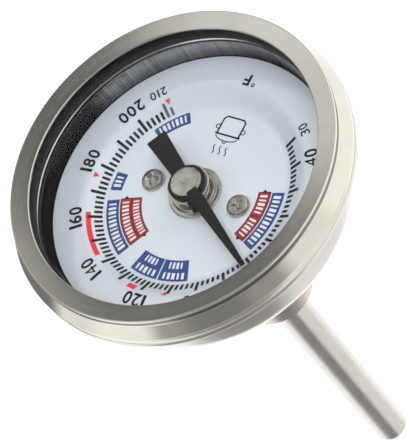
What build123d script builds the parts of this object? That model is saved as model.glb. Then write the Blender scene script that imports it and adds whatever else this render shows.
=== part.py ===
from build123d import *
from math import cos, radians, tan
import os

# Bimetal dial thermometer with a back-entry stem, in millimetres.
# The origin is on the stem axis at the hex shoulder, where the thread starts.
# +Z runs out of the dial face, +Y points to 12 o'clock and +X to 3 o'clock.

# Stem
STEM_R = 9.525 / 2
STEM_WALL = 0.7
STEM_LENGTH = 101.6
STEM_TOP_Z = 14.0
STEM_SEAT_R = 4.55
STEM_SEAT_GAP = 0.3
PLUG_HEIGHT = 2.0
PLUG_SPIGOT = 2.0
PLUG_EDGE_R = 1.5
SLIP = 0.02

# Threaded boss, 1/2-14 taper pipe thread
THREAD_LENGTH = 20.0
THREAD_PITCH = 25.4 / 14
THREAD_CREST_R = 10.67
THREAD_TAPER = 1 / 32
THREAD_FLAT = 0.18
THREAD_HALF_ANGLE = 30.0
THREAD_COUNT = 10
THREAD_END_R = 9.7
THREAD_END_CHAMFER = 0.5
HEX_ACROSS_FLATS = 22.2
HEX_HEIGHT = 9.0
HEX_CHAMFER = 0.9
HEX_OVERSIZE = 0.1
HEX_BITE = 1.0
NECK_R = 8.5
SPIGOT_R = 6.0
SPIGOT_TOP_Z = 22.9
NOSE_R = 3.0
NOSE_BORE_R = 2.5
NOSE_TOP_Z = 27.0

# Case
SHEET = 0.7
CASE_BACK_Z = 18.6
CASE_R = 35.95
CASE_CORNER_R = 4.6
CASE_HOLE_R = 6.05
FLANGE_Z = 38.0
FLANGE_R = 40.8
FLANGE_BEND_R = 0.5
FLANGE_LIP = 1.55
WASHER_HEIGHT = 0.5
LOCKNUT_ACROSS_FLATS = 19.0
LOCKNUT_HEIGHT = 3.0
LOCKNUT_CHAMFER = 0.5

# Window and gasket
GASKET_BASE = 1.3
GASKET_IN_R = 35.5
GASKET_OUT_R = 38.0
GASKET_EDGE_R = 0.3
GLASS_R = 37.05
GLASS_HEIGHT = 3.0
GLASS_CHAMFER = 0.3

# Crimped bezel, in turn from the lip outwards
BEZEL_SHEET = 0.8
LIP_R = 35.4
LIP_EDGE_R = 0.3
RIM_OUT_R = 39.95
RIM_TOP_Z = 43.5
RIM_CORNER_R = 0.3
RIM_LOW_Z = 42.8
GROOVE_R = 39.35
GROOVE_Z = 41.85
GROOVE_TOP_R = 0.2
GROOVE_CORNER_R = 0.2
SHOULDER_IN_R = 39.95
SHOULDER_TOP_Z = 41.4
SHOULDER_OUT_R = 41.9
SHOULDER_LOW_Z = 38.25
SHOULDER_EDGE_R = 0.15
SHOULDER_EDGE_DROP = 0.3
SHOULDER_THINNING = 0.15
SKIRT_R = 41.75
CRIMP_IN_R = 38.5
CRIMP_CORNER_R = 0.35
INSIDE_DROP = 0.4

# Dial plate: sunken centre, sloping scale ring, raised outer ring
DIAL_Z = 28.5
DIAL_SHEET = 0.6
DIAL_HOLE_R = 4.1
DIAL_FLAT_R = 23.0
DIAL_SLOPE_R = 27.6
DIAL_RISE = 2.6
DIAL_R = 35.1
DIAL_FOLD_R = 1.0
SCREW_X = 12.2
SCREW_R = 1.5
SCREW_HOLE_R = 1.7
SCREW_HEAD_R = 2.8
SCREW_HEAD_HEIGHT = 1.5
SCREW_HEAD_EDGE_R = 0.7
SCREW_LENGTH = 5.0
SCREW_TIP_R = 0.4
RECESS_LONG = 3.1
RECESS_WIDE = 0.75
RECESS_DEPTH = 0.8

# Bracket below the dial
BRACKET_SHEET = 1.0
BRACKET_WIDTH = 10.0
BRACKET_LEG_X = 16.0
BRACKET_FOOT_X = 21.0

# Bearings on the axis
BUSH_R = 4.05
BUSH_LOW_Z = 24.0
BUSH_FLANGE_R = 6.5
BUSH_FLANGE_Z = 29.3
BUSH_STEP_R = 5.4
BUSH_STEP_Z = 30.1
BUSH_NECK_R = 3.8
BUSH_TOP_Z = 32.4
BUSH_EDGE_R = 0.3
BUSH_CORNER_R = 0.2
BUSH_NECK_CORNER_R = 0.4
BEARING_R = 2.0
BEARING_LOW_Z = 29.5
BEARING_TOP_Z = 32.3
SHAFT_R = 0.8
SHAFT_CLEARANCE = 0.05
GUIDE_LOW_Z = -30.0
GUIDE_TOP_Z = -26.0

# Bimetal coil and its two ends
COIL_R = 3.3
COIL_STRIP = 0.4
COIL_STRIP_WIDTH = 2.4
COIL_PITCH = 3.3
COIL_LOW_Z = -91.0
COIL_TOP_Z = -38.4
ANCHOR_LOW_Z = -95.6
ANCHOR_GAP = 0.3
COLLET_R = 2.5
COLLET_LOW_Z = -38.0
COLLET_TOP_Z = -34.0
COLLET_SLOT_R = 1.5
COLLET_SLOT_DEPTH = 1.5

# Pointer and its hub
HUB_R = 5.05
HUB_Z = 32.75
HUB_SHEET = 0.45
HUB_NECK_R = 1.6
ROOT_R = 4.55
ROOT_TOP_Z = 33.9
CAP_R = 3.85
CAP_HEIGHT = 0.6
CAP_EDGE_R = 0.3
SHAFT_TOP_Z = 34.1
POINTER_GAP = 0.05
POINTER_SHEET = 0.5
POINTER_TOP_Z = 33.85
POINTER_TIP_R = 26.4
POINTER_TIP_Z = 31.9
BLADE_ROOT_R = 6.2
BLADE_ROOT_WIDTH = 3.1
BLADE_TIP_WIDTH = 1.15
TONGUE_IN_R = 3.1
TONGUE_RUN = 0.6
TONGUE_WIDTH = 2.5
TONGUE_SHEET = 0.25
TAIL_R = 16.1
TAIL_SHEET = 0.35
TAIL_BITE = 0.5
TAIL_ROOT_WIDTH = 3.9
TAIL_END_WIDTH = 5.2
TAB_SHEET = 0.4
TAB_BITE = 0.3
TAB_IN_R = 5.2
TAB_OUT_R = 6.6
TAB_LOW_Z = 30.7
TAB_WIDTH = 1.5
TAB_TURN = 18.0

# Scale: 12 o'clock is 121 degrees Fahrenheit, 1.5 degrees of turn for each
TOP_READING = 121.0
TURN_PER_DEGREE = 1.5
REST_READING = 82.0


def turned(points, radii=None):
    """A solid turned about Z from a closed (radius, height) outline, corners rounded where asked."""
    corners = [(r, 0, z) for r, z in points]
    if radii is None:
        outline = Polyline(*corners, close=True)
    else:
        outline = FilletPolyline(*corners, radius=radii, close=True)
    return revolve(make_face(outline), axis=Axis.Z)


def pipe(inner, outer, low, high):
    """A plain ring between two radii and two heights."""
    return turned([(inner, low), (outer, low), (outer, high), (inner, high)])


def prism(outline, low, high):
    """An upright solid of a flat outline between two heights."""
    return Pos(0, 0, low) * extrude(outline, amount=high - low)


def hexagon(across_flats, low, high, chamfer_height):
    """A hexagon bar with its corners turned off at both ends."""
    corner_r = across_flats / 2 / cos(radians(30))
    flat_r = across_flats / 2
    bar = prism(RegularPolygon(corner_r, 6), low, high)
    envelope = turned(
        [
            (0, low),
            (flat_r, low),
            (corner_r + HEX_OVERSIZE, low + chamfer_height),
            (corner_r + HEX_OVERSIZE, high - chamfer_height),
            (flat_r, high),
            (0, high),
        ]
    )
    return bar & envelope


def thread_outline():
    """Crest and root points of the taper thread, from the shoulder down to its end."""
    depth = (THREAD_PITCH / 2 - THREAD_FLAT) / tan(radians(THREAD_HALF_ANGLE))
    points = [(THREAD_CREST_R, 0)]
    for turn in range(THREAD_COUNT):
        top = -turn * THREAD_PITCH - THREAD_FLAT
        crest = THREAD_CREST_R + top * THREAD_TAPER
        middle = top - THREAD_PITCH / 2
        points.append((crest, top))
        points.append((crest - depth, middle + THREAD_FLAT))
        points.append((crest - depth, middle))
        points.append((crest - THREAD_PITCH * THREAD_TAPER, top - THREAD_PITCH + THREAD_FLAT))
    points.append((THREAD_END_R, points[-1][1] - THREAD_FLAT))
    points.append((THREAD_END_R - THREAD_END_CHAMFER, -THREAD_LENGTH))
    return points


def thread_boss():
    """Boss turned and threaded below, hexagon, neck and spigot above, bored for the stem."""
    bore = STEM_SEAT_R + SLIP
    outline = [(bore, STEM_TOP_Z), (NOSE_BORE_R, STEM_TOP_Z), (NOSE_BORE_R, NOSE_TOP_Z)]
    outline += [(NOSE_R, NOSE_TOP_Z), (NOSE_R, SPIGOT_TOP_Z), (SPIGOT_R, SPIGOT_TOP_Z)]
    neck_top = CASE_BACK_Z - WASHER_HEIGHT
    outline += [(SPIGOT_R, neck_top), (NECK_R, neck_top), (NECK_R, 0)]
    outline += thread_outline()
    outline += [(bore, -THREAD_LENGTH)]
    body = turned(outline)
    collar = hexagon(HEX_ACROSS_FLATS, 0, HEX_HEIGHT, HEX_CHAMFER)
    return body + (collar - Cylinder(NECK_R - HEX_BITE, 3 * HEX_HEIGHT))


def case_seal_washer():
    """Flat sealing washer between the neck and the back of the case."""
    return pipe(CASE_HOLE_R, NECK_R, CASE_BACK_Z - WASHER_HEIGHT, CASE_BACK_Z)


def boss_locknut():
    """Thin nut inside the case that clamps the case back to the boss."""
    low = CASE_BACK_Z + SHEET
    nut = hexagon(LOCKNUT_ACROSS_FLATS, low, low + LOCKNUT_HEIGHT, LOCKNUT_CHAMFER)
    return nut - Cylinder(SPIGOT_R + SLIP, 4 * CASE_BACK_Z)


def stem_tube():
    """Thin tube down to the end plug, turned down a little where it is seated in the boss."""
    bore = STEM_R - STEM_WALL
    low = -STEM_LENGTH + PLUG_HEIGHT
    seat = -THREAD_LENGTH - STEM_SEAT_GAP
    points = [(bore, low), (STEM_R, low), (STEM_R, seat), (STEM_SEAT_R, seat)]
    return turned(points + [(STEM_SEAT_R, STEM_TOP_Z), (bore, STEM_TOP_Z)])


def stem_end_plug():
    """End plug with a rounded edge and a short spigot inside the tube."""
    low = -STEM_LENGTH
    high = low + PLUG_HEIGHT
    spigot = STEM_R - STEM_WALL - SLIP
    points = [(0, low), (STEM_R, low), (STEM_R, high), (spigot, high)]
    points += [(spigot, high + PLUG_SPIGOT), (0, high + PLUG_SPIGOT)]
    return turned(points, [0, PLUG_EDGE_R, 0, 0, 0, 0])


def case_cup():
    """Drawn cup with a centre hole in its back and a flange whose edge turns down."""
    inner = CASE_R - SHEET
    floor = CASE_BACK_Z + SHEET
    under = FLANGE_Z - SHEET
    lip = under - FLANGE_LIP
    points = [(CASE_HOLE_R, CASE_BACK_Z), (CASE_R, CASE_BACK_Z), (CASE_R, under)]
    points += [(FLANGE_R - SHEET, under), (FLANGE_R - SHEET, lip), (FLANGE_R, lip), (FLANGE_R, FLANGE_Z)]
    points += [(inner, FLANGE_Z), (inner, floor), (CASE_HOLE_R, floor)]
    inside_bend = FLANGE_BEND_R + SHEET
    inside_corner = CASE_CORNER_R - SHEET
    radii = [0, CASE_CORNER_R, FLANGE_BEND_R, 0, 0, 0]
    return turned(points, radii + [FLANGE_BEND_R, inside_bend, inside_corner, 0])


def window_gasket():
    """Rubber ring of L section that carries the glass and closes round its edge."""
    base = FLANGE_Z + GASKET_BASE
    top = base + GLASS_HEIGHT
    points = [(GASKET_IN_R, FLANGE_Z), (GASKET_OUT_R, FLANGE_Z), (GASKET_OUT_R, top)]
    points += [(GLASS_R, top), (GLASS_R, base), (GASKET_IN_R, base)]
    return turned(points, [GASKET_EDGE_R, 0, 0, 0, 0, GASKET_EDGE_R])


def window_glass():
    """Flat round window with ground edges."""
    low = FLANGE_Z + GASKET_BASE
    high = low + GLASS_HEIGHT
    edge = GLASS_R - GLASS_CHAMFER
    points = [(0, low), (edge, low), (GLASS_R, low + GLASS_CHAMFER)]
    points += [(GLASS_R, high - GLASS_CHAMFER), (edge, high), (0, high)]
    return turned(points)


def bezel_ring():
    """Pressed ring: lip over the glass, rim, groove, shoulder, and a skirt crimped under the flange."""
    glass_top = FLANGE_Z + GASKET_BASE + GLASS_HEIGHT
    lip_top = glass_top + BEZEL_SHEET
    crimp_top = FLANGE_Z - SHEET - FLANGE_LIP
    crimp_low = crimp_top - BEZEL_SHEET
    inside = SKIRT_R - BEZEL_SHEET + SHOULDER_THINNING
    throat = GROOVE_R - BEZEL_SHEET
    outer = [(LIP_R, glass_top), (LIP_R, lip_top), (RIM_OUT_R, RIM_TOP_Z), (RIM_OUT_R, RIM_LOW_Z)]
    outer += [(GROOVE_R, GROOVE_Z), (SHOULDER_IN_R, SHOULDER_TOP_Z), (SHOULDER_OUT_R, SHOULDER_LOW_Z)]
    outer += [(SKIRT_R, SHOULDER_LOW_Z - SHOULDER_EDGE_DROP), (SKIRT_R, crimp_low)]
    outer_radii = [0, LIP_EDGE_R, RIM_CORNER_R, GROOVE_TOP_R, GROOVE_CORNER_R]
    outer_radii += [GROOVE_CORNER_R, SHOULDER_EDGE_R, 0, CRIMP_CORNER_R]
    inner = [(CRIMP_IN_R, crimp_low), (CRIMP_IN_R, crimp_top), (inside, crimp_top)]
    inner += [(inside, SHOULDER_LOW_Z - INSIDE_DROP), (throat, SHOULDER_TOP_Z - SHOULDER_THINNING)]
    inner += [(throat, glass_top)]
    return turned(outer + inner, outer_radii + [0, 0, 0, 0, 0, 0])


def dial_plate():
    """Dished sheet: flat centre, sloping ring and raised outer ring, with its three holes."""
    slope = DIAL_RISE / (DIAL_SLOPE_R - DIAL_FLAT_R)
    shift = DIAL_SHEET * ((1 + slope**2) ** 0.5 - 1) / slope
    top = DIAL_Z + DIAL_RISE
    low = DIAL_Z - DIAL_SHEET
    points = [(DIAL_HOLE_R, DIAL_Z), (DIAL_FLAT_R, DIAL_Z), (DIAL_SLOPE_R, top), (DIAL_R, top)]
    points += [(DIAL_R, top - DIAL_SHEET), (DIAL_SLOPE_R + shift, top - DIAL_SHEET)]
    points += [(DIAL_FLAT_R + shift, low), (DIAL_HOLE_R, low)]
    outside = DIAL_FOLD_R + DIAL_SHEET
    plate = turned(points, [0, DIAL_FOLD_R, outside, 0, 0, DIAL_FOLD_R, outside, 0])
    for side in (-1, 1):
        plate -= Pos(side * SCREW_X, 0, DIAL_Z) * Cylinder(SCREW_HOLE_R, 4 * DIAL_SHEET)
    return plate


def dial_screws():
    """Two pan-head screws with cross recesses that hold the dial to its bracket."""
    top = DIAL_Z + SCREW_HEAD_HEIGHT
    points = [(0, DIAL_Z - SCREW_LENGTH), (SCREW_R, DIAL_Z - SCREW_LENGTH), (SCREW_R, DIAL_Z)]
    points += [(SCREW_HEAD_R, DIAL_Z), (SCREW_HEAD_R, top), (0, top)]
    screw = turned(points, [0, SCREW_TIP_R, 0, 0, SCREW_HEAD_EDGE_R, 0])
    recess = Box(RECESS_LONG, RECESS_WIDE, 2 * RECESS_DEPTH)
    for turn in (0, 90):
        screw -= Pos(0, 0, top) * Rot(0, 0, turn) * recess
    return [Pos(side * SCREW_X, 0, 0) * screw for side in (-1, 1)]


def dial_bracket():
    """Bent strap that stands on the case floor and carries the dial, tapped for the screws."""
    strap_top = DIAL_Z - DIAL_SHEET
    floor = CASE_BACK_Z + SHEET
    sheet = BRACKET_SHEET
    inner_x = BRACKET_LEG_X - sheet
    half = [(inner_x, strap_top - sheet), (inner_x, floor), (BRACKET_FOOT_X, floor)]
    half += [(BRACKET_FOOT_X, floor + sheet), (BRACKET_LEG_X, floor + sheet), (BRACKET_LEG_X, strap_top)]
    points = half + [(-x, z) for x, z in reversed(half)]
    side_view = make_face(Polyline(*[(x, 0, z) for x, z in points], close=True))
    strap = extrude(side_view, amount=BRACKET_WIDTH / 2, both=True)
    strap -= Pos(0, 0, DIAL_Z) * Cylinder(DIAL_HOLE_R, 4 * sheet)
    for side in (-1, 1):
        strap -= Pos(side * SCREW_X, 0, DIAL_Z) * Cylinder(SCREW_R, 4 * sheet)
    return strap


def centre_bush():
    """Stepped bush on the nose of the boss, with its flange on the dial and the bearing in its neck."""
    bore = NOSE_R + SLIP
    points = [(bore, BUSH_LOW_Z), (BUSH_R, BUSH_LOW_Z), (BUSH_R, DIAL_Z), (BUSH_FLANGE_R, DIAL_Z)]
    points += [(BUSH_FLANGE_R, BUSH_FLANGE_Z), (BUSH_STEP_R, BUSH_FLANGE_Z), (BUSH_STEP_R, BUSH_STEP_Z)]
    points += [(BUSH_NECK_R, BUSH_STEP_Z), (BUSH_NECK_R, BUSH_TOP_Z), (BEARING_R, BUSH_TOP_Z)]
    points += [(BEARING_R, NOSE_TOP_Z), (bore, NOSE_TOP_Z)]
    radii = [0, 0, 0, 0, BUSH_EDGE_R, BUSH_CORNER_R, BUSH_EDGE_R, BUSH_NECK_CORNER_R, BUSH_CORNER_R]
    return turned(points, radii + [0, 0, 0])


def upper_bearing():
    """Plain bearing for the pointer shaft in the neck of the centre bush."""
    return pipe(SHAFT_R + SHAFT_CLEARANCE, BEARING_R, BEARING_LOW_Z, BEARING_TOP_Z)


def lower_guide():
    """Guide bush that centres the pointer shaft in the stem."""
    return pipe(SHAFT_R + SHAFT_CLEARANCE, STEM_R - STEM_WALL, GUIDE_LOW_Z, GUIDE_TOP_Z)


def coil_anchor():
    """Disc fixed in the stem for the lower end of the coil, with a short post inside the coil."""
    disc = STEM_R - STEM_WALL
    post = COIL_R - COIL_STRIP - ANCHOR_GAP
    points = [(0, ANCHOR_LOW_Z), (disc, ANCHOR_LOW_Z), (disc, COIL_LOW_Z), (post, COIL_LOW_Z)]
    points += [(post, COIL_LOW_Z + COIL_PITCH), (0, COIL_LOW_Z + COIL_PITCH)]
    return turned(points)


def bimetal_coil():
    """Flat strip wound in a helix inside the lower stem."""
    middle = COIL_R - COIL_STRIP / 2
    start = COIL_LOW_Z + COIL_STRIP_WIDTH / 2
    rise = COIL_TOP_Z - COIL_LOW_Z - COIL_STRIP_WIDTH
    path = Pos(0, 0, start) * Helix(COIL_PITCH, rise, middle)
    section = Pos(middle, 0, start) * Rot(90, 0, 0) * Rectangle(COIL_STRIP, COIL_STRIP_WIDTH)
    return sweep(section, path=path, is_frenet=True)


def coil_collet():
    """Collet on the lower end of the shaft, slotted for the upper end of the coil."""
    collet = pipe(SHAFT_R, COLLET_R, COLLET_LOW_Z, COLLET_TOP_Z)
    slot_depth = COLLET_R - COLLET_SLOT_R
    slot = Pos(COLLET_R, 0, COLLET_LOW_Z) * Box(2 * slot_depth, COIL_STRIP, 2 * COLLET_SLOT_DEPTH)
    return collet - slot


def pointer_shaft():
    """Shaft that carries the coil's turn up to the pointer."""
    return pipe(0, SHAFT_R, COLLET_LOW_Z, SHAFT_TOP_Z)


def pointer_hub():
    """Bright disc below the pointer with a neck through its root, pressed on the shaft."""
    base = HUB_Z + HUB_SHEET
    points = [(SHAFT_R, HUB_Z), (HUB_R, HUB_Z), (HUB_R, base), (HUB_NECK_R, base)]
    points += [(HUB_NECK_R, ROOT_TOP_Z), (SHAFT_R, ROOT_TOP_Z)]
    return turned(points)


def pointer_cap():
    """Round cap over the pointer root, with a rounded rim and a blind hole for the shaft."""
    top = ROOT_TOP_Z + CAP_HEIGHT
    points = [(0, SHAFT_TOP_Z), (SHAFT_R, SHAFT_TOP_Z), (SHAFT_R, ROOT_TOP_Z)]
    points += [(CAP_R, ROOT_TOP_Z), (CAP_R, top), (0, top)]
    return turned(points, [0, 0, 0, 0, CAP_EDGE_R, 0])


def profile_bar(points, width):
    """A bar along +Y with a closed (y, z) side outline and an even width."""
    side = make_face(Polyline(*[(0, y, z) for y, z in points], close=True))
    return extrude(side, amount=width / 2, both=True)


def pointer_blade():
    """Tapering blade that falls to its tip, with a narrow tongue that laps over the cap's edge."""
    beside_cap = CAP_R + POINTER_GAP
    over_hub = HUB_Z + HUB_SHEET + POINTER_GAP
    cap_top = ROOT_TOP_Z + CAP_HEIGHT
    tongue_top = cap_top + TONGUE_SHEET
    tongue_end = beside_cap + TONGUE_RUN
    side = [(TONGUE_IN_R, tongue_top), (tongue_end, tongue_top), (BLADE_ROOT_R, POINTER_TOP_Z)]
    side += [(POINTER_TIP_R, POINTER_TIP_Z), (POINTER_TIP_R, POINTER_TIP_Z - POINTER_SHEET)]
    side += [(BLADE_ROOT_R, POINTER_TOP_Z - POINTER_SHEET), (HUB_R + POINTER_GAP, over_hub)]
    side += [(beside_cap, over_hub), (beside_cap, cap_top), (TONGUE_IN_R, cap_top)]
    right = [(TONGUE_WIDTH / 2, TONGUE_IN_R), (TONGUE_WIDTH / 2, tongue_end)]
    right += [(BLADE_ROOT_WIDTH / 2, BLADE_ROOT_R - TONGUE_RUN), (BLADE_TIP_WIDTH / 2, POINTER_TIP_R)]
    left = [(-x, y) for x, y in reversed(right)]
    plan = make_face(Polyline(*right, *left, close=True))
    return profile_bar(side, 2 * BLADE_ROOT_WIDTH) & prism(plan, POINTER_TIP_Z / 2, 2 * tongue_top)


def pointer_tail():
    """Flat tail that widens to its square end, opposite the blade."""
    start = ROOT_R - TAIL_BITE
    half_in = TAIL_ROOT_WIDTH / 2
    half_out = TAIL_END_WIDTH / 2
    corners = [(-half_in, -start), (-half_out, -TAIL_R), (half_out, -TAIL_R), (half_in, -start)]
    return prism(make_face(Polyline(*corners, close=True)), POINTER_TOP_Z - TAIL_SHEET, POINTER_TOP_Z)


def pointer_tab():
    """Small tab bent down beside the blade."""
    top = POINTER_TOP_Z
    under = top - TAIL_SHEET
    start = ROOT_R - TAB_BITE
    side = [(start, top), (TAB_IN_R + TAB_SHEET, top), (TAB_OUT_R, TAB_LOW_Z)]
    side += [(TAB_OUT_R - TAB_SHEET, TAB_LOW_Z), (TAB_IN_R, under), (start, under)]
    return Rot(0, 0, -TAB_TURN) * profile_bar(side, TAB_WIDTH)


def pointer():
    """Painted pointer along +Y: root disc, blade, tail and tab in one piece."""
    root = pipe(HUB_NECK_R, ROOT_R, HUB_Z + HUB_SHEET, ROOT_TOP_Z)
    return root + pointer_blade() + pointer_tail() + pointer_tab()


def at_reading(piece, reading):
    """Turn a piece that points to 12 o'clock so that it points to a reading."""
    return Rot(0, 0, -(reading - TOP_READING) * TURN_PER_DEGREE) * piece


def write(name, *solids):
    """One STEP file for one named sub-part."""
    shape = Compound(children=list(solids)) if len(solids) > 1 else solids[0]
    export_step(shape, f"parts/{name}.step")


os.makedirs("parts", exist_ok=True)
write("thread_boss", thread_boss())
write("case_seal_washer", case_seal_washer())
write("boss_locknut", boss_locknut())
write("stem_tube", stem_tube())
write("stem_end_plug", stem_end_plug())
write("case_cup", case_cup())
write("window_gasket", window_gasket())
write("window_glass", window_glass())
write("bezel_ring", bezel_ring())
write("dial_plate", dial_plate())
write("dial_screws", *dial_screws())
write("dial_bracket", dial_bracket())
write("centre_bush", centre_bush())
write("upper_bearing", upper_bearing())
write("lower_guide", lower_guide())
write("coil_anchor", coil_anchor())
write("bimetal_coil", bimetal_coil())
write("coil_collet", coil_collet())
write("pointer_shaft", pointer_shaft())
write("pointer_hub", pointer_hub())
write("pointer", at_reading(pointer(), REST_READING))
write("pointer_cap", pointer_cap())
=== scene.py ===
import math
import bmesh
import bpy
from mathutils import Matrix, Quaternion, Vector


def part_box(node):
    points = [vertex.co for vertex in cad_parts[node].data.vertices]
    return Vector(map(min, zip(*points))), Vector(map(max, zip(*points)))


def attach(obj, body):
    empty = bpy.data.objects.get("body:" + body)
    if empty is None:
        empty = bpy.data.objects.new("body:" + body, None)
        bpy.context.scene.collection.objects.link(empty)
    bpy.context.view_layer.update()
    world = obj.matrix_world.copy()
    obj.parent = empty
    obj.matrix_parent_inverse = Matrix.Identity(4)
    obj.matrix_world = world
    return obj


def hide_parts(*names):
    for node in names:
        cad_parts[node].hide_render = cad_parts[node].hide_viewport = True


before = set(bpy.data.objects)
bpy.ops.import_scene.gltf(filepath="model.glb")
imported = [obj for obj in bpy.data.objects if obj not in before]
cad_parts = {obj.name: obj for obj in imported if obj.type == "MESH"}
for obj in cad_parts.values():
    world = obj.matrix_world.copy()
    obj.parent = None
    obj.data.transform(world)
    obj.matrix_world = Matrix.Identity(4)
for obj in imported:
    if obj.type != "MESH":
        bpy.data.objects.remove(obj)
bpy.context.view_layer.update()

bpy.context.scene.view_settings.view_transform = "Standard"

# All sizes are in millimetres in the frame of the CAD model, and MM turns them into metres.
MM = 0.001
FIXED = "housing"
TURNING = "pointer_assembly"
SEGMENTS = 240


# ---------------------------------------------------------------- places read from the frame

def low_z(node):
    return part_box(node)[0].z / MM


def high_z(node):
    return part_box(node)[1].z / MM


GLASS_LOW, GLASS_TOP = low_z("window_glass"), high_z("window_glass")
GLASS_R = 37.05
RIM_TOP = high_z("bezel_ring")
CRIMP_LOW = low_z("bezel_ring")
CASE_BACK, FLANGE_TOP = low_z("case_cup"), high_z("case_cup")
RING_TOP = high_z("dial_plate")
DIAL_TOP = RING_TOP - 2.6
CASE_R, CASE_SHEET = 35.95, 0.7
FLANGE_R, FLANGE_LIP = 40.8, 2.24
LIP_R, RIM_R, RIM_LOW = 35.4, 39.93, 42.8
GROOVE_R, GROOVE_Z = 39.35, 41.85
SHOULDER_IN_R, SHOULDER_TOP, SHOULDER_R, SHOULDER_LOW = 39.95, 41.39, 41.87, 38.25
BEZEL_SHEET, BEZEL_THROAT_R, BEZEL_INSIDE_R, CRIMP_R = 0.8, 38.55, 41.05, 38.5
DIAL_SHEET = 0.6
DIAL_FLAT_R, DIAL_SLOPE_R, DIAL_R = 23.0, 27.6, 35.1
STEM_R = 9.525 / 2
STEM_TIP = low_z("stem_end_plug")
THREAD_LENGTH = -low_z("thread_boss")


# ---------------------------------------------------------------- mesh tools

def piece(name, mesh, body, slot, material, *nodes, sharp=32):
    """A finished object from a mesh in metres, smooth up to the given angle, on its body."""
    mesh.shade_smooth()
    mesh.set_sharp_from_angle(angle=math.radians(sharp))
    item = bpy.data.objects.new(name, mesh)
    bpy.context.scene.collection.objects.link(item)
    item.data.materials.append(material)
    if nodes:
        weigh = item.modifiers.new("even_normals", "WEIGHTED_NORMAL")
        weigh.keep_sharp = True
        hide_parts(*nodes)
    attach(item, body)
    return item


def mesh_from(name, corners, faces):
    """A mesh from corners in millimetres and their faces, with its normals facing out."""
    mesh = bpy.data.meshes.new(name)
    mesh.from_pydata([tuple(c * MM for c in corner) for corner in corners], [], faces)
    shape = bmesh.new()
    shape.from_mesh(mesh)
    bmesh.ops.remove_doubles(shape, verts=shape.verts, dist=1e-8)
    bmesh.ops.recalc_face_normals(shape, faces=shape.faces)
    shape.to_mesh(mesh)
    shape.free()
    return mesh


def rounded(outline, steps=7):
    """A closed outline of (r, z, corner radius) as plain (r, z) points, with arcs at its corners."""
    points = []
    count = len(outline)
    for i, (r, z, fillet) in enumerate(outline):
        here = Vector((r, z))
        if not fillet:
            points.append((r, z))
            continue
        back = (Vector(outline[i - 1][:2]) - here).normalized()
        ahead = (Vector(outline[(i + 1) % count][:2]) - here).normalized()
        half = back.angle(ahead) / 2
        middle = here + (back + ahead).normalized() * fillet / math.sin(half)
        start = here + back * fillet / math.tan(half) - middle
        end = here + ahead * fillet / math.tan(half) - middle
        sweep = start.angle_signed(end)
        for k in range(steps + 1):
            turn = Matrix.Rotation(-sweep * k / steps, 2)
            points.append(tuple(middle + turn @ start))
    return points


def turned(name, outline, segments=SEGMENTS):
    """A closed solid of revolution about Z from a rounded (r, z, corner radius) outline."""
    points = rounded(outline)
    corners, rings = [], []
    for r, z in points:
        if r < 1e-6:
            rings.append([len(corners)] * segments)
            corners.append((0, 0, z))
            continue
        rings.append(range(len(corners), len(corners) + segments))
        for k in range(segments):
            angle = 2 * math.pi * k / segments
            corners.append((r * math.cos(angle), r * math.sin(angle), z))
    faces = []
    for i, ring in enumerate(rings):
        above = rings[(i + 1) % len(rings)]
        for k in range(segments):
            after = (k + 1) % segments
            face = list(dict.fromkeys((ring[k], ring[after], above[after], above[k])))
            if len(face) > 2:
                faces.append(face)
    return mesh_from(name, corners, faces)


# ---------------------------------------------------------------- material tools

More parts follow.
